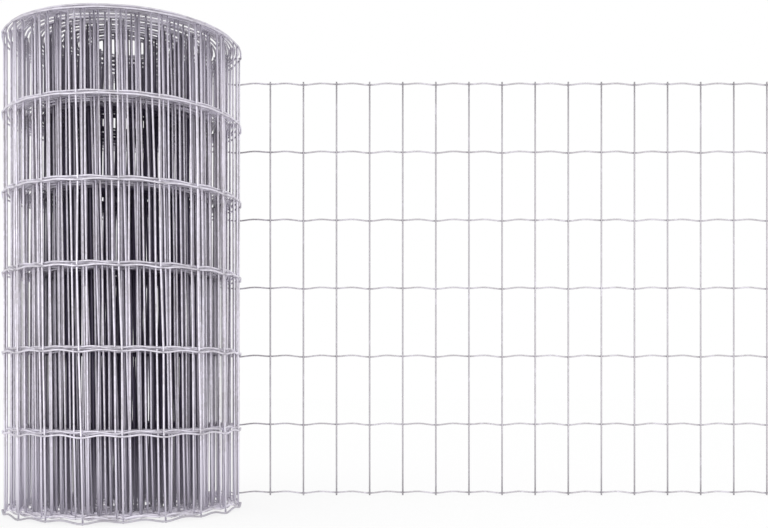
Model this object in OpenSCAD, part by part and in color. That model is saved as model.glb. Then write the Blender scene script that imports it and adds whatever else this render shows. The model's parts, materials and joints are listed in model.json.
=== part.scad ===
// Roll of galvanised welded wire fencing, standing on its end, with one stretch unrolled flat.
// Units are millimetres. The origin is on the floor, on the axis of the roll. The flat stretch
// leaves the back of the roll at a tangent and runs along +X.

/* [Wire mesh] */
// Diameter of every wire
wire_d = 2.5; // [1.4:0.1:3.2]
// Pitch of the upright cross wires along the fence
cell_w = 49.4; // [40:0.2:80]
// Pitch of the line wires up the fence
cell_h = 101.6; // [60:0.2:120]
// Mesh rows between the lowest and the highest line wire
rows = 6; // [3:1:10]
// How far each cross wire runs past its welds on the outer line wires
stub = 3.5; // [2:0.5:8]
// How deep two wires sink into each other at a weld
weld_depth = 0.5; // [0.4:0.1:0.8]
// Rise of a line wire's crimp between two cross wires
crimp_rise = 1.9; // [0:0.1:4]
// How much lower every second weld of a line wire sits
crimp_drop = 1; // [0:0.1:2]

/* [Roll] */
// Outside diameter of the roll
roll_d = 314; // [200:1:420]
// Diameter of the open core
bore_d = 60; // [40:1:120]
// Open gap between two turns
turn_gap = 1.2; // [0.4:0.1:4]
// Depth of the gap that shows between two turns on an end
turn_gap_depth = 4; // [1:0.5:8]
// How far the winding has climbed by the last turn but one
turn_climb = 4.5; // [0:0.5:12]

/* [Unrolled stretch] */
// Mesh cells that lie flat
flat_cells = 18; // [4:1:24]
// First flat cross wire, measured from the line where the mesh leaves the roll
first_cross = 27; // [5:1:48]
// How far the line wires run past the last cross wire
end_trim = 2.5; // [1.5:0.5:10]
// Clearance between the flat stretch and the roll at the tangent line
seat_gap = 0.2; // [0.1:0.1:0.5]

/* [Hidden] */

zinc = [0.72, 0.71, 0.75];

wire_r = wire_d / 2;
fence_h = rows * cell_h + 2 * stub;
roll_r = roll_d / 2;
bore_r = bore_d / 2;

// The turns share the wall evenly, so a whole number of them fits between bore and outside.
turns = floor((roll_r - bore_r) / (wire_d + turn_gap));
turn_w = (roll_r - bore_r) / turns;
gap_w = turn_w - wire_d;

// The line wires are on the outer side, and the cross wires are welded to their inner side.
// The flat stretch lies as near the roll as its line wires at the tangent line and its first
// cross wire both allow.
weld_offset = wire_d - weld_depth;
seat_r = roll_r + seat_gap + wire_r;
line_y = max(seat_r, sqrt(seat_r ^ 2 - first_cross ^ 2) + weld_offset);
cross_y = line_y - weld_offset;

wire_sides = 6;
cross_sides = 8;
crimp_steps = 4;

// Height of a line wire's centre over its mean weld, u cells past the first flat cross wire.
// It is lowest at the cross wires, lower still at every second one, and highest midway.
function crimp(u) = crimp_rise / 2 * (1 - cos(360 * u)) - crimp_drop / 2 * cos(180 * u);

// Height of turn i above the floor: the winding climbs evenly from the core outwards, and the
// outermost turn, which runs on into the flat stretch, has dropped back to the floor.
function turn_z(i) = i < turns - 1 ? turn_climb * i / (turns - 2) : 0;

// Radial zigzag of one end of the roll: a flat land as wide as a wire for each turn, and a V-shaped
// gap between two turns, which runs up from the lands of the lower end and down from the upper ones.
function lower_gap(i) = max(turn_z(i), turn_z(i + 1)) + turn_gap_depth;
function upper_gap(i) = min(turn_z(i), turn_z(i + 1)) - turn_gap_depth;
function end_profile(upper) = [
    for (i = [0 : turns - 1])
        let (r = bore_r + i * turn_w, land = turn_z(i), gap = upper ? upper_gap(i) : lower_gap(i))
        each i < turns - 1
            ? [[r, land], [r + wire_d, land], [r + wire_d + gap_w / 2, gap]]
            : [[r, land], [roll_r, land]]
];

// The wound turns, as one solid of revolution with the open core through it.
module wound_roll() {
    lower = end_profile(false);
    upper = end_profile(true);
    color(zinc)
        rotate_extrude($fn = 180)
            polygon(concat(
                lower,
                [for (i = [len(upper) - 1 : -1 : 0]) upper[i] + [0, fence_h]]
            ));
}

// A wire of wire_sides flats swept along points: each ring is the same section, moved to its point.
module swept_wire(points) {
    section = [
        for (k = [0 : wire_sides - 1])
            let (a = (k + 0.5) * 360 / wire_sides)
            [0, wire_r * cos(a), wire_r * sin(a)]
    ];
    rings = len(points);
    polyhedron(
        points = [for (p = points) for (s = section) p + s],
        faces = concat(
            [[for (k = [0 : wire_sides - 1]) k]],
            [
                for (i = [0 : rings - 2])
                    for (k = [0 : wire_sides - 1])
                        let (a = i * wire_sides + k, b = i * wire_sides + (k + 1) % wire_sides)
                        [a, a + wire_sides, b + wire_sides, b]
            ],
            [[for (k = [wire_sides - 1 : -1 : 0]) (rings - 1) * wire_sides + k]]
        )
    );
}

// One crimped line wire of the flat stretch, from the tangent line to the cut end.
module line_wire() {
    last_cross = first_cross + flat_cells * cell_w;
    lead = floor(first_cross / cell_w * crimp_steps);
    middle = [
        for (i = [-lead : flat_cells * crimp_steps])
            first_cross + i / crimp_steps * cell_w
    ];
    swept_wire([
        for (x = concat([0], middle, [last_cross + end_trim]))
            [x, 0, crimp((x - first_cross) / cell_w)]
    ]);
}

// The flat stretch of welded mesh: crimped line wires fused with straight cross wires.
module unrolled_mesh() {
    color(zinc) union() {
        for (j = [0 : rows])
            translate([0, line_y, stub + j * cell_h]) line_wire();
        for (i = [0 : flat_cells])
            translate([first_cross + i * cell_w, cross_y, 0])
                rotate(180 / cross_sides)
                    cylinder(r = wire_r, h = fence_h, $fn = cross_sides);
    }
}

wound_roll();
unrolled_mesh();
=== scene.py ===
"""Roll of galvanised welded wire fencing, standing on its end, with one stretch unrolled flat.

Every wire is a real one: seven crimped line wires run the whole sold length, from the cut end of the
flat stretch round every turn to the core, and the cross wires are welded to their inner side.
"""

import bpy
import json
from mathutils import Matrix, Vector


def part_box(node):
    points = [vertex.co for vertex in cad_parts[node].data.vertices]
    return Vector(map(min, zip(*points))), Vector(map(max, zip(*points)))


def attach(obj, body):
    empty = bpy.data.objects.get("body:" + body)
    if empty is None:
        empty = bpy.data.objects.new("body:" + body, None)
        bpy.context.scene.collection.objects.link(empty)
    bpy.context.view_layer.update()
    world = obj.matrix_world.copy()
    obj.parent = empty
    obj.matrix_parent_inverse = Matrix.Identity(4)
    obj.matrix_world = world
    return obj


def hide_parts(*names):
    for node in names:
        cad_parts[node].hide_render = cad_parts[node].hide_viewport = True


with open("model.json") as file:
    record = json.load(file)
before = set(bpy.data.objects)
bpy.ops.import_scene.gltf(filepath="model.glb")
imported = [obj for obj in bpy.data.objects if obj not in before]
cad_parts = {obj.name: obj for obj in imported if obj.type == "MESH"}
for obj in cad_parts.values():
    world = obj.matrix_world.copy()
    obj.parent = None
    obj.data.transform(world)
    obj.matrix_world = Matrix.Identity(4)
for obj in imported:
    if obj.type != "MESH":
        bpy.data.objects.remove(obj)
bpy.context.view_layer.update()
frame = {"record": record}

import json
import math

import bpy
import numpy as np
from mathutils import Vector

bl_info = {
    "name": "Wire fencing roll",
    "version": (1, 0, 0),
    "blender": (4, 5, 0),
    "location": "View3D > Sidebar > Fencing",
    "description": "Builds a standing roll of welded wire fencing with one stretch unrolled",
    "category": "Add Mesh",
}

NODES = ("wound_roll", "unrolled_mesh")
WIRE_MATERIAL = "galvanised steel wire"
MM = 0.001
UP = np.array([0, 0, 1])

# Corners of the CAD nodes, and the radius of the open core.
_, ROLL_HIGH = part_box("wound_roll")
FLAT_LOW, FLAT_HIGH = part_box("unrolled_mesh")
CORE_RADIUS = frame["record"]["mounts"][0]["dims"]["r_mm"] * MM

# Sides of the wires and of a weld bead, and the steps of a line wire in each cell.
LINE_SIDES = 8
LINE_STEPS = 8
CROSS_SIDES = 6
BEAD_SIDES = 8

# A weld bead's radius and half its thickness, the share of the radius at its two faces, and how far along
# a line wire the zinc round it is burnt.
BEAD_REACH = 1.75 * MM
BEAD_DEPTH = 0.6 * MM
BEAD_WAIST = 0.6
WELD_REACH = 3 * MM

# Length over girth of one rectangle on the map of each kind of piece. The bare margin round it and the
# radius of a cap on the map are shares of a rectangle.
LINE_ASPECT = 6
CROSS_ASPECT = 78
BEAD_ASPECT = 0.2
MAP_MARGIN = 0.06
CAP_RADIUS = 0.4

# Crimp of the wound line wires over that of the flat ones, at the foot and at the top of the roll.
WOUND_CRIMP = (1.6, 0.3)

# Angles wound, in radians, between which the mesh climbs from the outermost turn to the next one.
CLIMB_ANGLES = np.radians([280, 470])

# The turn from which the next ones sink, and the turns after which they are back at the same height.
SINK_START = 7
SINK_TURNS = 5

# Waves in which the turns slip down: their lengths along the mesh in metres, shares, and phases in radians.
SLIP_WAVES = np.array([1.83, 0.71, 0.37])
SLIP_SHARES = np.array([0.5, 0.3, 0.2])
SLIP_PHASES = np.array([1.0, 3.6, 5.2])

# Lobes of the turns round the roll, with their shares, their phases in radians, and how far each phase
# drifts over a metre of radius.
LOBES = np.array([2, 3, 5, 8])
LOBE_SHARES = np.array([0.4, 0.3, 0.2, 0.1])
LOBE_PHASES = np.array([0.4, 2.1, 4.4, 1.3])
LOBE_DRIFTS = np.array([25, -40, 60, -90])

# Width, in wire diameters, of the bulge where a cross wire rests on the turn inside it.
NESTING_WIDTH = 3

# Swing between loose and tight windings, in radians for each radian wound, and how many angles are worked
# out to find the one that is wound at a run.
LOOSE_RATE = 0.122
ANGLE_STEPS = 20001

# Cells of the outermost turn over which the flat stretch leads into the twist and lean of the roll.
LEAD_CELLS = 3

# Draws of the wound cross wires: the seed, the length of mesh in metres over which they lean to and fro and
# the phase of that wave, the spread of the leans and of the bows, and the least and the greatest trim.
DRAW_SEED = 11
LEAN_WAVE = 2.7
LEAN_PHASE = 0.8
LEAN_SPREAD = 0.4
BOW_SPREAD = 0.5
TRIM_SHARES = (0.7, 1)

# How far in from the outermost turn the painted shade is at its darkest, and how far the foot and the top
# of the roll reach, where there is less painted shade and the wound cross wires get painted light.
PAINTED_SHADE_INWARD = 60 * MM
END_REACH = 90 * MM

# Share of that painted shade that is left at the foot and at the top of the roll: in the edges of the
# turns, which catch the light, and in the cross wires between them.
EDGE_PAINTED_SHADE = (0.0, 0.0)
CROSS_PAINTED_SHADE = (0.55, 0.8)

# Dullness of the zinc, where 0 is mostly clean and 1 is mostly dull: flat cross wires, the dullest wound
# ones, how much cleaner and lighter the wound ones are drawn at the foot and at the top of the roll as
# painted light, the line wires on the flat stretch and on the turns, and the weld beads.
FLAT_TONE = 1.3
WOUND_TONE = 0.6
END_PAINTED_LIGHT = (1.8, 1.4)
LINE_TONES = (0.95, 0.25)
BEAD_TONE = 0.3

# Painted shade on the lowest line wire of the turns, which stands on the floor, and on the highest: darker
# zinc that stands in for the shade on these rims.
RIM_PAINTED_SHADE = (0.9, 0.35)

# Sizes of the zinc's clouds, crystals and grain, with the grain's height and the strength of its bump. The
# grain is drawn coarser than it is, so that it shows.
CLOUD_SIZE = 40 * MM
CRYSTAL_SIZE = 5 * MM
GRAIN_SIZE = 1.5 * MM
GRAIN_HEIGHT = 0.1 * MM
GRAIN_BUMP = 0.15

# How much the crystals and a wire's own dullness add to the clouds, the sums at which the zinc is clean and
# dull, how much of the darker colour a full weld burn and a full painted rim shade give, and the grain's
# range with the roughness at its ends.
CRYSTAL_SHARE = 0.3
TONE_SHARE = 0.5
CLEAN_TO_DULL = (0.55, 1.25)
BURN_AND_SHADE_SHARE = 0.6
GRAIN_RANGE = (0.2, 0.8)
ROUGHNESS = (0.36, 0.58)

# Half the side of the floor in metres, and the share of the paper that is seen as plain white.
FLOOR_HALF = 8.0
PAPER_GLOW = 0.78

# Softboxes: name, place, width and height in metres, and power in watts.
SOFTBOXES = (
    ("key", (-0.9, -1.8, 0.4), 1.6, 0.8, 6),
    ("fill", (1.3, -1.8, 0.4), 1.4, 0.8, 3.5),
)

# Camera: its place in metres, its lens in millimetres, and the pixels by which the horizon lies below the
# middle of the picture, with the picture's width.
CAMERA_PLACE = (0.3448, -1.319, 0.17225)
CAMERA_LENS = 46.34
HORIZON_DROP = 115.7
IMAGE_WIDTH = 768


def linear(hex_colour):
    """Linear red, green and blue of an sRGB hex colour, by the sRGB curve."""
    parts = [int(hex_colour[i:i + 2], 16) / 255 for i in (1, 3, 5)]
    return tuple(c / 12.92 if c <= 0.04045 else ((c + 0.055) / 1.055) ** 2.4 for c in parts)


def length(name, description, default, **limits):
    """A length property in metres, shown with its unit."""
    return bpy.props.FloatProperty(
        name=name, description=description, default=default, unit="LENGTH", precision=4, **limits
    )


def colour(name, description, hex_colour):
    """A colour property, given as sRGB hex and kept as linear values."""
    return bpy.props.FloatVectorProperty(
        name=name, description=description, default=linear(hex_colour), subtype="COLOR", min=0, max=1
    )


def bell(distance, width):
    """One at no distance, falling to nothing over about twice the width."""
    return np.exp(-(distance / width) ** 2)


class FenceSizes(bpy.types.PropertyGroup):
    """Sizes of the welded mesh and of the roll it is wound into."""

    wire_diameter: length("Wire diameter", "Diameter of every wire", 2.5 * MM, min=MM)
    cell_width: length("Cell width", "Pitch of the cross wires along the fence", 49.4 * MM)
    rows: bpy.props.IntProperty(name="Rows", description="Mesh rows up the fence", default=6, min=1)
    stub: length("Stub", "Cross wire past its welds on the outer line wires", 3.5 * MM)
    weld_depth: length("Weld depth", "How deep two wires sink into each other at a weld", 0.5 * MM)
    crimp_rise: length("Crimp rise", "Rise of a line wire between two cross wires", 1.9 * MM)
    crimp_drop: length("Crimp drop", "How much lower every second weld sits", 1.0 * MM)
    end_trim: length("End trim", "Line wire past the last cross wire", 2.5 * MM)
    sold_length: length("Sold length", "Length of mesh on the roll, flat stretch included", 20.0)
    flat_cells: bpy.props.IntProperty(
        name="Flat cells", description="Mesh cells in the unrolled stretch", default=18, min=1
    )
    unevenness: length("Unevenness", "How far the turns stray from a true round", 0.9 * MM)
    looseness: length("Looseness", "How far loose and tight windings stray from an even spiral", 0.9 * MM)
    nesting: length("Nesting", "Bulge of a turn where a cross wire rests on the next turn in", 0.85 * MM)
    sag: length("Sag", "How far the outermost turn sags below the flat stretch", 1.0 * MM)
    sink: length("Sink", "How far the turns sink and climb again, over several turns", 4.0 * MM)
    stagger: length("Stagger", "How far a turn may slip down against its neighbours", 0.5 * MM)
    twist: length("Twist", "How far the top of the roll trails behind its middle, along the mesh", 4.2 * MM)
    lean: length("Lean", "How far a wound cross wire leans or bows along the mesh", 1.2 * MM)
    wiggle: length("Wiggle", "How far a wound cross wire strays along the mesh at a weld", 0.5 * MM)
    trim: length("Trim", "How much shorter a wound cross wire is cut at each end, at the most", 3.4 * MM)


class FenceColours(bpy.types.PropertyGroup):
    """Colours of the zinc coat and of the studio."""

    zinc: colour("Zinc", "Clean zinc coat", "#f4f0fb")
    zinc_dull: colour("Dull zinc", "Weathered zinc between the bright patches", "#c6c2c7")
    # Painted shade: a dark zinc colour laid on the wires deep inside the roll, where little light gets in.
    zinc_painted_shade: colour("Deep zinc", "Zinc darkened by damp deep between the turns", "#534c60")
    # Darker zinc for the real burn at each weld, and for the painted shade on the lowest and the highest
    # rim.
    zinc_burn_and_shade: colour("Worn zinc", "Zinc burnt thin at a weld or rubbed thin on a rim", "#8b8790")
    floor: colour("Floor", "Studio floor", "#fdfdfd")


class Layout:
    """Where the mesh lies, from its sizes. Places along it are given by run: metres past the line
    where it leaves the roll, below zero on the flat stretch and above zero on the turns."""

    def __init__(self, sizes):
        self.sizes = sizes
        self.wire_r = sizes.wire_diameter / 2
        self.height = FLAT_HIGH.z - FLAT_LOW.z
        self.climb = ROLL_HIGH.z - FLAT_HIGH.z - sizes.sag
        self.cell_height = (self.height - 2 * sizes.stub) / sizes.rows
        self.levels = sizes.stub + self.cell_height * np.arange(sizes.rows + 1)
        self.weld_offset = sizes.wire_diameter - sizes.weld_depth
        self.flat_y = FLAT_HIGH.y - self.wire_r
        self.flat_end = FLAT_HIGH.x
        self.first_cross = self.flat_end - sizes.end_trim - sizes.flat_cells * sizes.cell_width
        cells = int((sizes.sold_length - 2 * sizes.end_trim) / sizes.cell_width)
        self.cross_cells = np.arange(-sizes.flat_cells, cells - sizes.flat_cells + 1)
        self.cross_runs = self.run_at(self.cross_cells)
        self.run_start = -self.flat_end
        self.run_end = self.cross_runs[-1] + sizes.end_trim
        self.outer = ROLL_HIGH.x - self.wire_r - sizes.unevenness - sizes.nesting
        self.inner = CORE_RADIUS + self.weld_offset + self.wire_r + sizes.unevenness + sizes.looseness
        self.turn_pitch = math.pi * (self.outer ** 2 - self.inner ** 2) / self.run_end
        self.angles = np.linspace(0, 2 * math.pi * self.outer / self.turn_pitch, ANGLE_STEPS)
        self.draw_wires()

    def draw_wires(self):
        """Draws what differs from one cross wire to the next: its tone, its stubs at the two ends, and how
        far it stands to one side at each level, which is a straight lean, a parabola and a stray at each
        weld, on top of the twist. The flat stretch stays true, and the first wires lead over to it."""
        rng = np.random.default_rng(DRAW_SEED)
        count = len(self.cross_runs)
        lead = np.clip(self.cross_cells / LEAD_CELLS, 0, 1)
        wave = np.cos(2 * math.pi * self.cross_runs / LEAN_WAVE + LEAN_PHASE)
        lean = (wave + rng.normal(0, LEAN_SPREAD, count)) * self.sizes.lean
        bow = rng.normal(0, BOW_SPREAD, count) * self.sizes.lean
        stray = rng.normal(0, self.sizes.wiggle, (count, len(self.levels)))
        up = np.linspace(0, 1, len(self.levels))
        sway = lean[:, None] * (2 * up - 1) + bow[:, None] * 4 * up * (1 - up) + stray
        self.sway = sway * lead[:, None] + self.trail(self.cross_runs[:, None], self.levels)
        self.tone = rng.uniform(0, WOUND_TONE, count) * lead + (1 - lead) * FLAT_TONE
        trims = rng.uniform(*TRIM_SHARES, (2, count)) * self.sizes.trim * self.wound(self.cross_runs)
        self.stub_low, self.stub_high = self.sizes.stub - trims

    def run_at(self, cell):
        """Run of a place given in cells: cell 0 is the first flat cross wire beside the roll."""
        return cell * self.sizes.cell_width - self.first_cross

    def cell_at(self, run):
        """Cells past the first flat cross wire."""
        return (run + self.first_cross) / self.sizes.cell_width

    def crimp(self, run):
        """Rise of a line wire over its mean weld: half of one minus a cosine of one cell, so it is lowest
        at the cross wires, less a cosine of two cells, so that every second weld sits lower."""
        turn = math.pi * self.cell_at(run)
        rise = self.sizes.crimp_rise / 2 * (1 - np.cos(2 * turn))
        return rise - self.sizes.crimp_drop / 2 * np.cos(turn)

    def spiral(self, angle):
        """Radius of the spiral at a wound angle: it shrinks by the turn pitch each turn, and a slow cosine
        makes it loose and tight by turns."""
        even = self.outer - self.turn_pitch * angle / (2 * math.pi)
        return even + self.sizes.looseness * np.cos(LOOSE_RATE * angle)

    def run_of_angle(self, angle):
        """Run at a wound angle: the radius summed over the angle."""
        even = self.outer * angle - self.turn_pitch * angle ** 2 / (4 * math.pi)
        return even + self.sizes.looseness / LOOSE_RATE * np.sin(LOOSE_RATE * angle)

    def turn_angle(self, run):
        """Angle wound at a run: the inverse of run_of_angle, read off a fine row of angles."""
        return np.interp(run, self.run_of_angle(self.angles), self.angles)

    def unevenness(self, angle, radius):
        """Out of round, the same for neighbouring turns: a sum of cosines of a few lobes round the
        roll, whose phases drift with the radius."""
        waves = np.cos(angle[..., None] * LOBES + LOBE_PHASES + radius[..., None] * LOBE_DRIFTS)
        return self.sizes.unevenness * (waves * LOBE_SHARES).sum(-1)

    def trail(self, run, level):
        """How far along the mesh the welds of a level sit from those of the middle: a straight line from
        the twist at the lowest level to as much the other way at the highest."""
        lead = np.clip(self.cell_at(run) / LEAD_CELLS, 0, 1)
        return self.sizes.twist * lead * np.interp(level, self.levels[[0, -1]], [1, -1])

    def from_weld(self, run, level):
        """Distance along a line wire to its nearest cross wire."""
        cell = self.cell_at(run - self.trail(run, level))
        return np.abs(cell - np.round(cell)) * self.sizes.cell_width

    def wound(self, run):
        """Share of the way through the first quarter turn of the roll, from 0 to 1: an S-curve."""
        quarter = np.clip(self.turn_angle(run) / (math.pi / 2), 0, 1)
        return quarter ** 2 * (3 - 2 * quarter)

    def climbed(self, run):
        """Share of the climb from the outermost turn to the next, from 0 to 1: a straight ramp."""
        return np.interp(self.turn_angle(run), CLIMB_ANGLES, [0, 1])

    def rise(self, run):
        """How far a turn sits above its level on the flat stretch: the outermost turn sags over its first
        quarter, the next few have the full climb, and from there they sink and climb again as a cosine over
        several turns. A sum of cosines along the run, from nothing to the stagger, is taken off too."""
        waves = np.cos(2 * math.pi * run[..., None] / SLIP_WAVES + SLIP_PHASES)
        wander = (1 - (waves * SLIP_SHARES).sum(-1)) / 2
        turns = np.maximum(self.turn_angle(run) / (2 * math.pi) - SINK_START, 0)
        sunk = (1 - np.cos(2 * math.pi * turns / SINK_TURNS)) / 2
        inner = self.climb - self.sizes.sink * sunk - self.sizes.stagger * wander
        share = self.climbed(run)
        return share * inner - (1 - share) * self.sizes.sag * self.wound(run)

    def line_height(self, run, level):
        """Height of a line wire's centre: its level, plus the rise of the turn, plus the crimp, which the
        first quarter turn of the roll deepens near the foot and pulls straighter near the top."""
        change = np.interp(level, self.levels[[0, -1]], WOUND_CRIMP) - 1
        crimp = self.crimp(run - self.trail(run, level)) * (1 + change * self.wound(run))
        return level + self.rise(run) + crimp

    def towards_ends(self, height, middle, ends):
        """A value that holds over the middle of the height, and from there goes in a straight line to the
        values given for the foot and the top."""
        heights = [0, END_REACH, self.height - END_REACH, self.height]
        return np.interp(height, heights, [ends[0], middle, middle, ends[1]])

    def depth(self, centre, ends):
        """How deep a place lies inside the roll, from 0 to 1, which sets how much painted shade it gets:
        the square of the way in from the outermost turn, up to the reach at which little light is left,
        times a share that falls to the ones given for the ends."""
        inward = (self.outer - np.hypot(centre[..., 0], centre[..., 1])) / PAINTED_SHADE_INWARD
        return np.clip(inward, 0, 1) ** 2 * self.towards_ends(centre[..., 2], 1, ends)

    def place(self, run, level):
        """Centre of a line wire, with the outward and the forward direction there. In plan the flat stretch
        is a straight line, and the turns are a spiral whose last quarter turn swings out to meet that line.
        The unevenness is added along the radius, and so is a narrow bell at each cross wire, where the mesh
        rests on the turn inside it."""
        angle = self.turn_angle(run)
        radius = self.spiral(angle)
        reach = NESTING_WIDTH * self.sizes.wire_diameter
        bulge = self.sizes.nesting * bell(self.from_weld(run, level), reach)
        radius = radius + self.unevenness(angle, radius) + bulge
        wound = self.wound(run)
        radius = radius * wound + self.flat_y * (1 - wound)
        heading = math.pi / 2 + angle
        outward = np.stack([np.cos(heading), np.sin(heading), np.zeros_like(heading)], -1)
        forward = np.stack([-np.sin(heading), np.cos(heading), np.zeros_like(heading)], -1)
        centre = outward * radius[..., None]
        centre[..., 0] += np.maximum(-run, 0)
        centre[..., 2] = self.line_height(run, level)
        return centre, outward, forward


def ring(sides):
    """Cosine and sine of the corners of a round wire's section."""
    turn = 2 * math.pi * (np.arange(sides) + 0.5) / sides
    return np.cos(turn), np.sin(turn)


def atlas(tubes, segments, sides, chunk, aspect):
    """Corner places of every side face on a square map, and of one cap. Each tube is cut into chunks of
    segments, each chunk is one rectangle with the length across and the girth up, and the rectangles fill
    a grid. All caps share one circle above it."""
    chunks = -(-segments // chunk)
    count = tubes * chunks
    columns = max(1, round(math.sqrt(count / aspect)))
    lines = -(-count // columns)
    tube, segment, side = np.meshgrid(
        np.arange(tubes), np.arange(segments), np.arange(sides), indexing="ij"
    )
    cell = tube * chunks + segment // chunk
    corner_along = np.array([0, 1, 1, 0])
    corner_round = np.array([0, 0, 1, 1])
    inside = 1 - 2 * MAP_MARGIN
    across = MAP_MARGIN + ((segment % chunk)[..., None] + corner_along) / chunk * inside
    up = MAP_MARGIN + (side[..., None] + corner_round) / sides * inside
    u = ((cell % columns)[..., None] + across) / columns
    v = ((cell // columns)[..., None] + up) / (lines + 1)
    cap_turn = 2 * math.pi * np.arange(sides) / sides
    cap = CAP_RADIUS * np.stack([np.cos(cap_turn), np.sin(cap_turn)], -1) + [0.5, lines + 0.5]
    return np.stack([u, v], -1).reshape(-1, 2), cap / [columns, lines + 1]


def wire_object(name, rings, traits, chunk, aspect):
    """An object of closed tubes. rings is an array of tubes by rings by corners by 3, and traits holds
    the attributes that the material reads, as arrays of tubes by rings. Neighbouring rings are joined
    by four-sided faces, and the first and the last ring are capped."""
    tubes, steps, sides, _ = rings.shape
    tube, step, side = np.meshgrid(
        np.arange(tubes), np.arange(steps - 1), np.arange(sides), indexing="ij"
    )
    here = (tube * steps + step) * sides + side
    beside = (tube * steps + step) * sides + (side + 1) % sides
    walls = np.stack([here, here + sides, beside + sides, beside], -1).reshape(-1)
    first = (np.arange(tubes)[:, None] * steps * sides) + np.arange(sides)
    last = first[:, ::-1] + (steps - 1) * sides
    corners = np.concatenate([walls, first.reshape(-1), last.reshape(-1)])
    wall_count = len(walls) // 4
    totals = np.concatenate([np.full(wall_count, 4), np.full(2 * tubes, sides)])

    mesh = bpy.data.meshes.new(name)
    mesh.vertices.add(tubes * steps * sides)
    mesh.vertices.foreach_set("co", rings.astype(np.float32).reshape(-1))
    mesh.loops.add(len(corners))
    mesh.loops.foreach_set("vertex_index", corners.astype(np.int32))
    mesh.polygons.add(len(totals))
    mesh.polygons.foreach_set("loop_start", (np.cumsum(totals) - totals).astype(np.int32))
    mesh.polygons.foreach_set("use_smooth", np.arange(len(totals)) < wall_count)

    wall_map, cap_map = atlas(tubes, steps - 1, sides, chunk, aspect)
    caps = np.concatenate([np.tile(cap_map, (tubes, 1)), np.tile(cap_map[::-1], (tubes, 1))])
    layer = mesh.uv_layers.new(name="OFBake")
    layer.uv.foreach_set("vector", np.concatenate([wall_map, caps]).astype(np.float32).reshape(-1))

    for trait, values in traits.items():
        layer = mesh.attributes.new(trait, "FLOAT", "POINT")
        layer.data.foreach_set("value", np.repeat(values, sides, -1).astype(np.float32).reshape(-1))
    mesh.update(calc_edges=True)
    if mesh.validate():
        raise RuntimeError(f"{name} has faulty faces")
    piece = bpy.data.objects.new(name, mesh)
    bpy.context.scene.collection.objects.link(piece)
    return piece


def finish_piece(piece):
    """Gives a piece its material and its body, and hides the CAD nodes that it stands for."""
    piece.data.materials.append(shared_material())
    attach(piece, "root")
    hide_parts(*NODES)


def line_wire_rings(layout, level):
    """Rings of one line wire: a circle carried along the mesh, set upright in the plane of the outward
    direction and the vertical, at the line wire's height."""
    cells = np.arange(
        layout.cross_cells[0] * LINE_STEPS, layout.cross_cells[-1] * LINE_STEPS + 1
    ) / LINE_STEPS
    run = np.concatenate([[layout.run_start], layout.run_at(cells), [layout.run_end]])
    centre, outward, _ = layout.place(run, level)
    across, up = ring(LINE_SIDES)
    rings = centre[:, None] + layout.wire_r * (outward[:, None] * across[:, None] + UP * up[:, None])
    wound = layout.wound(run)
    # Painted shade on the rims: the lowest line wire of the outermost turn, up to its climb, and the
    # highest line wire of every turn.
    rim_shade = [wound * (1 - layout.climbed(run)) * RIM_PAINTED_SHADE[0], wound * RIM_PAINTED_SHADE[1]]
    rim = np.select([level == layout.levels[0], level == layout.levels[-1]], rim_shade)
    burn_and_shade = np.maximum(bell(layout.from_weld(run, level), WELD_REACH), rim)
    tone = np.interp(wound, [0, 1], LINE_TONES)
    traits = {"burn_and_shade": burn_and_shade, "depth": layout.depth(centre, EDGE_PAINTED_SHADE), "tone": tone}
    return rings[None], {name: values[None] for name, values in traits.items()}


def weld_points(layout, inward):
    """Points beside every weld, as cross wires by levels, set in from the line wires, with the outward and
    the forward direction at each."""
    run = layout.cross_runs[:, None] + layout.sway
    centre, outward, forward = layout.place(run, layout.levels)
    return centre - outward * inward, outward, forward


def cross_wire_rings(layout):
    """Rings of all cross wires: a circle carried from weld to weld up the inner side of the line wires,
    with the lowest and the highest ring moved out to the cut ends."""
    line, outward, forward = weld_points(layout, layout.weld_offset)
    rise = layout.rise(layout.cross_runs)
    line[:, 0, 2] = layout.levels[0] + rise - layout.stub_low
    line[:, -1, 2] = layout.levels[-1] + rise + layout.stub_high
    across, ahead = ring(CROSS_SIDES)
    section = outward[:, :, None] * across[:, None] - forward[:, :, None] * ahead[:, None]
    rings = line[:, :, None] + layout.wire_r * section
    # Painted light: the wound cross wires get cleaner, lighter zinc towards the foot and the top of the
    # roll.
    painted_light = layout.towards_ends(line[..., 2], 0, END_PAINTED_LIGHT)
    tone = layout.tone[:, None] - painted_light * layout.wound(layout.cross_runs)[:, None]
    return rings, {"burn_and_shade": np.zeros_like(tone), "depth": layout.depth(line, CROSS_PAINTED_SHADE), "tone": tone}


def weld_bead_rings(layout):
    """Rings of all weld beads: three circles along the outward direction, a wide one between two narrow
    ones, centred where a cross wire and a line wire are pressed into each other."""
    middle, outward, forward = weld_points(layout, layout.weld_offset / 2)
    up, ahead = ring(BEAD_SIDES)
    circle = UP * up[:, None] + forward[:, :, None] * ahead[:, None]
    reach = BEAD_REACH * np.array([BEAD_WAIST, 1, BEAD_WAIST])[:, None, None]
    out = BEAD_DEPTH * np.array([-1, 0, 1])[:, None, None]
    shape = reach * circle[:, :, None] + out * outward[:, :, None, None]
    rings = (middle[:, :, None, None] + shape).reshape(-1, len(out), BEAD_SIDES, 3)
    depth = np.repeat(layout.depth(middle, EDGE_PAINTED_SHADE).reshape(-1, 1), len(out), 1)
    return rings, {"burn_and_shade": np.ones_like(depth), "depth": depth, "tone": np.full_like(depth, BEAD_TONE)}


def add_node(tree, kind, settings=None, values=None, links=None):
    """Adds a shader node. settings are its attributes, values its unlinked inputs, and links feeds an
    input from an output of another node."""
    node = tree.nodes.new(kind)
    for key, value in (settings or {}).items():
        setattr(node, key, value)
    for key, value in (values or {}).items():
        node.inputs[key].default_value = value
    for key, output in (links or {}).items():
        tree.links.new(output, node.inputs[key])
    return node


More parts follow.
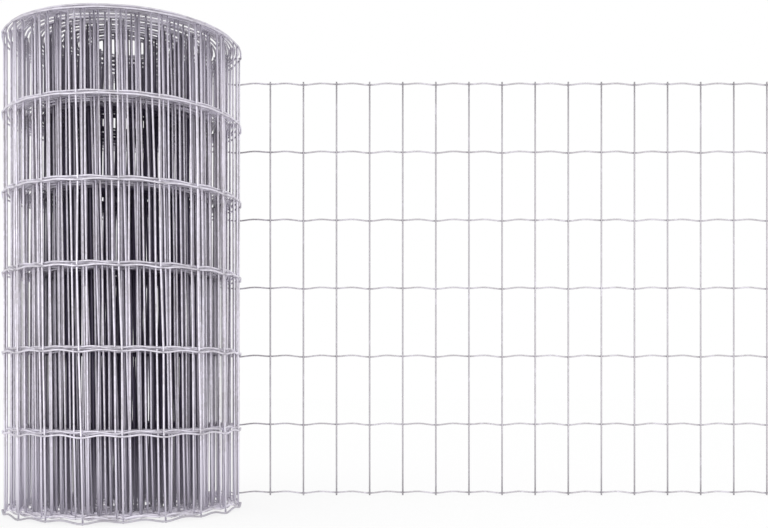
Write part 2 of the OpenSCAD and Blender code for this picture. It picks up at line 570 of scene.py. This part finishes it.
def fresh_material(name):
    """A new material with an empty node tree and its output."""
    material = bpy.data.materials.new(name)
    material.use_nodes = True
    material.node_tree.nodes.clear()
    return material, material.node_tree, add_node(material.node_tree, "ShaderNodeOutputMaterial")


def galvanised_wire():
    """Drawn steel wire, welded and dipped in zinc: a pale, faintly violet grey metal, satin rather than
    bright, with clouds of duller zinc a few centimetres long, crystals a few millimetres across, a
    darker burnt spot at each weld, painted shade on the lowest and the highest rim, and painted shade deep
    between the turns, where little light gets in."""
    colours = bpy.context.scene.fence_colours
    material, tree, output = fresh_material(WIRE_MATERIAL)
    place = add_node(tree, "ShaderNodeTexCoord").outputs["Object"]
    burn_and_shade, depth, tone = (
        add_node(tree, "ShaderNodeAttribute", {"attribute_name": name}).outputs["Fac"]
        for name in ("burn_and_shade", "depth", "tone")
    )
    cloud = add_node(
        tree, "ShaderNodeTexNoise",
        values={"Scale": 1 / CLOUD_SIZE, "Detail": 2.0, "Roughness": 0.5}, links={"Vector": place},
    )
    crystal = add_node(
        tree, "ShaderNodeTexVoronoi", values={"Scale": 1 / CRYSTAL_SIZE}, links={"Vector": place}
    )
    grain = add_node(
        tree, "ShaderNodeTexNoise",
        values={"Scale": 1 / GRAIN_SIZE, "Detail": 2.0, "Roughness": 0.6}, links={"Vector": place},
    )
    crystal_tone = add_node(tree, "ShaderNodeSeparateColor", links={"Color": crystal.outputs["Color"]})
    mottle = add_node(
        tree, "ShaderNodeMath", {"operation": "MULTIPLY_ADD"}, {1: CRYSTAL_SHARE},
        {0: crystal_tone.outputs["Red"], 2: cloud.outputs["Fac"]},
    )
    wire_mottle = add_node(
        tree, "ShaderNodeMath", {"operation": "MULTIPLY_ADD"}, {1: TONE_SHARE},
        {0: tone, 2: mottle.outputs[0]},
    )
    dullness = add_node(
        tree, "ShaderNodeMapRange",
        values={"From Min": CLEAN_TO_DULL[0], "From Max": CLEAN_TO_DULL[1]},
        links={"Value": wire_mottle.outputs[0]},
    )
    zinc = add_node(
        tree, "ShaderNodeMix", {"data_type": "RGBA"},
        {"A": (*colours.zinc, 1), "B": (*colours.zinc_dull, 1)}, {"Factor": dullness.outputs[0]},
    )
    # Real weld burn, and painted shade on the rims, mixed in as a darker zinc.
    burn_and_shade_mix = add_node(tree, "ShaderNodeMath", {"operation": "MULTIPLY"}, {1: BURN_AND_SHADE_SHARE}, {0: burn_and_shade})
    burnt_and_shaded = add_node(
        tree, "ShaderNodeMix", {"data_type": "RGBA"}, {"B": (*colours.zinc_burn_and_shade, 1)},
        {"Factor": burn_and_shade_mix.outputs[0], "A": zinc.outputs["Result"]},
    )
    # Painted shade: the dark colour mixed in by how deep the wire lies inside the roll.
    coat = add_node(
        tree, "ShaderNodeMix", {"data_type": "RGBA"}, {"B": (*colours.zinc_painted_shade, 1)},
        {"Factor": depth, "A": burnt_and_shaded.outputs["Result"]},
    )
    roughness = add_node(
        tree, "ShaderNodeMapRange",
        values={
            "From Min": GRAIN_RANGE[0], "From Max": GRAIN_RANGE[1],
            "To Min": ROUGHNESS[0], "To Max": ROUGHNESS[1],
        },
        links={"Value": grain.outputs["Fac"]},
    )
    bump = add_node(
        tree, "ShaderNodeBump", values={"Strength": GRAIN_BUMP, "Distance": GRAIN_HEIGHT},
        links={"Height": grain.outputs["Fac"]},
    )
    metal = add_node(
        tree, "ShaderNodeBsdfPrincipled", values={"Metallic": 1.0},
        links={
            "Base Color": coat.outputs["Result"],
            "Roughness": roughness.outputs[0],
            "Normal": bump.outputs[0],
        },
    )
    tree.links.new(metal.outputs[0], output.inputs["Surface"])
    return material


def shared_material():
    """The wire's one material, made the first time it is asked for."""
    return bpy.data.materials.get(WIRE_MATERIAL) or galvanised_wire()


def seen_directly(tree):
    """One where the camera sees a surface, straight, in a reflection or through glass, and else zero."""
    rays = add_node(tree, "ShaderNodeLightPath")
    seen = add_node(
        tree, "ShaderNodeMath", {"operation": "MAXIMUM"},
        links={0: rays.outputs["Is Camera Ray"], 1: rays.outputs["Is Glossy Ray"]},
    )
    return add_node(
        tree, "ShaderNodeMath", {"operation": "MAXIMUM"},
        links={0: seen.outputs[0], 1: rays.outputs["Is Transmission Ray"]},
    ).outputs[0]


def paper_floor():
    """Seamless paper: a white matt sheet that is seen as the plain background, with a share of its
    light from the studio, so that the object's shadow stays on it."""
    colours = bpy.context.scene.fence_colours
    material, tree, output = fresh_material("white paper sweep")
    matt = add_node(tree, "ShaderNodeBsdfDiffuse", values={"Color": (*colours.floor, 1)})
    glow = add_node(tree, "ShaderNodeEmission")
    share = add_node(
        tree, "ShaderNodeMath", {"operation": "MULTIPLY"}, {1: PAPER_GLOW}, {0: seen_directly(tree)}
    )
    mix = add_node(
        tree, "ShaderNodeMixShader",
        links={"Fac": share.outputs[0], 1: matt.outputs[0], 2: glow.outputs[0]},
    )
    tree.links.new(mix.outputs[0], output.inputs["Surface"])
    return material


class FENCE_OT_line_wires(bpy.types.Operator):
    """Builds the crimped line wires, each in one length from the cut end to the core"""

    bl_idname = "fence.line_wires"
    bl_label = "Line wires"

    def execute(self, context):
        layout = Layout(context.scene.fence_sizes)
        for number, level in enumerate(layout.levels, 1):
            rings, traits = line_wire_rings(layout, level)
            finish_piece(wire_object(f"line_wire_{number}", rings, traits, LINE_STEPS, LINE_ASPECT))
        return {"FINISHED"}


class FENCE_OT_cross_wires(bpy.types.Operator):
    """Builds the upright cross wires of the turns and of the flat stretch"""

    bl_idname = "fence.cross_wires"
    bl_label = "Cross wires"

    def execute(self, context):
        rings, traits = cross_wire_rings(Layout(context.scene.fence_sizes))
        finish_piece(wire_object("cross_wires", rings, traits, rings.shape[1] - 1, CROSS_ASPECT))
        return {"FINISHED"}


class FENCE_OT_weld_beads(bpy.types.Operator):
    """Builds the beads of metal squeezed out where the wires are welded"""

    bl_idname = "fence.weld_beads"
    bl_label = "Weld beads"

    def execute(self, context):
        rings, traits = weld_bead_rings(Layout(context.scene.fence_sizes))
        finish_piece(wire_object("weld_beads", rings, traits, rings.shape[1] - 1, BEAD_ASPECT))
        return {"FINISHED"}


def softbox(name, place, width, height, power):
    """An upright softbox at a place, turned to the axis of the roll."""
    lamp = bpy.data.lights.new(name, "AREA")
    lamp.shape = "RECTANGLE"
    lamp.size = width
    lamp.size_y = height
    lamp.energy = power
    box = bpy.data.objects.new(name, lamp)
    box.location = place
    aim = Vector((0, 0, place[2])) - Vector(place)
    box.rotation_euler = aim.to_track_quat("-Z", "Y").to_euler()
    box.visible_camera = False
    bpy.context.scene.collection.objects.link(box)


def white_surround():
    """A white studio, even on all sides."""
    world = bpy.data.worlds.new("white studio")
    world.use_nodes = True
    tree = world.node_tree
    tree.nodes.clear()
    back = add_node(tree, "ShaderNodeBackground", values={"Color": (1, 1, 1, 1), "Strength": 1.0})
    add_node(tree, "ShaderNodeOutputWorld", links={"Surface": back.outputs[0]})
    bpy.context.scene.world = world


class FENCE_OT_stage(bpy.types.Operator):
    """Builds the floor, the lamps, the surround and the camera"""

    bl_idname = "fence.stage"
    bl_label = "Stage"

    def execute(self, context):
        signs = ((-1, -1), (1, -1), (1, 1), (-1, 1))
        corners = [(FLOOR_HALF * x, FLOOR_HALF * y, 0) for x, y in signs]
        mesh = bpy.data.meshes.new("floor")
        mesh.from_pydata(corners, [], [(0, 1, 2, 3)])
        mesh.materials.append(paper_floor())
        floor = bpy.data.objects.new("floor", mesh)
        context.scene.collection.objects.link(floor)
        for box in SOFTBOXES:
            softbox(*box)
        white_surround()
        eye = bpy.data.cameras.new("camera")
        eye.lens = CAMERA_LENS
        eye.shift_y = HORIZON_DROP / IMAGE_WIDTH
        camera = bpy.data.objects.new("camera", eye)
        camera.location = CAMERA_PLACE
        camera.rotation_euler = (math.pi / 2, 0, 0)
        context.scene.collection.objects.link(camera)
        context.scene.camera = camera
        context.scene.view_settings.view_transform = "Standard"
        return {"FINISHED"}


class FENCE_PT_panel(bpy.types.Panel):
    """Lists the sizes, the colours and the steps in building order"""

    bl_idname = "FENCE_PT_panel"
    bl_label = "Wire fencing roll"
    bl_space_type = "VIEW_3D"
    bl_region_type = "UI"
    bl_category = "Fencing"

    def draw(self, context):
        for group in (context.scene.fence_sizes, context.scene.fence_colours):
            for name in group.__annotations__:
                self.layout.prop(group, name)
        for step in STEPS:
            self.layout.operator(step.bl_idname)


STEPS = (FENCE_OT_line_wires, FENCE_OT_cross_wires, FENCE_OT_weld_beads, FENCE_OT_stage)
CLASSES = (FenceSizes, FenceColours, *STEPS, FENCE_PT_panel)


def register():
    """Makes the operators, the panel and the two groups of properties known to Blender."""
    for cls in CLASSES:
        bpy.utils.register_class(cls)
    bpy.types.Scene.fence_sizes = bpy.props.PointerProperty(type=FenceSizes)
    bpy.types.Scene.fence_colours = bpy.props.PointerProperty(type=FenceColours)


def unregister():
    """Takes away what register added."""
    del bpy.types.Scene.fence_colours
    del bpy.types.Scene.fence_sizes
    for cls in reversed(CLASSES):
        bpy.utils.unregister_class(cls)


def main():
    """Registers the add-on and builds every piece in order."""
    register()
    bpy.ops.fence.line_wires()
    bpy.ops.fence.cross_wires()
    bpy.ops.fence.weld_beads()
    bpy.ops.fence.stage()


if __name__ == "__main__":
    main()
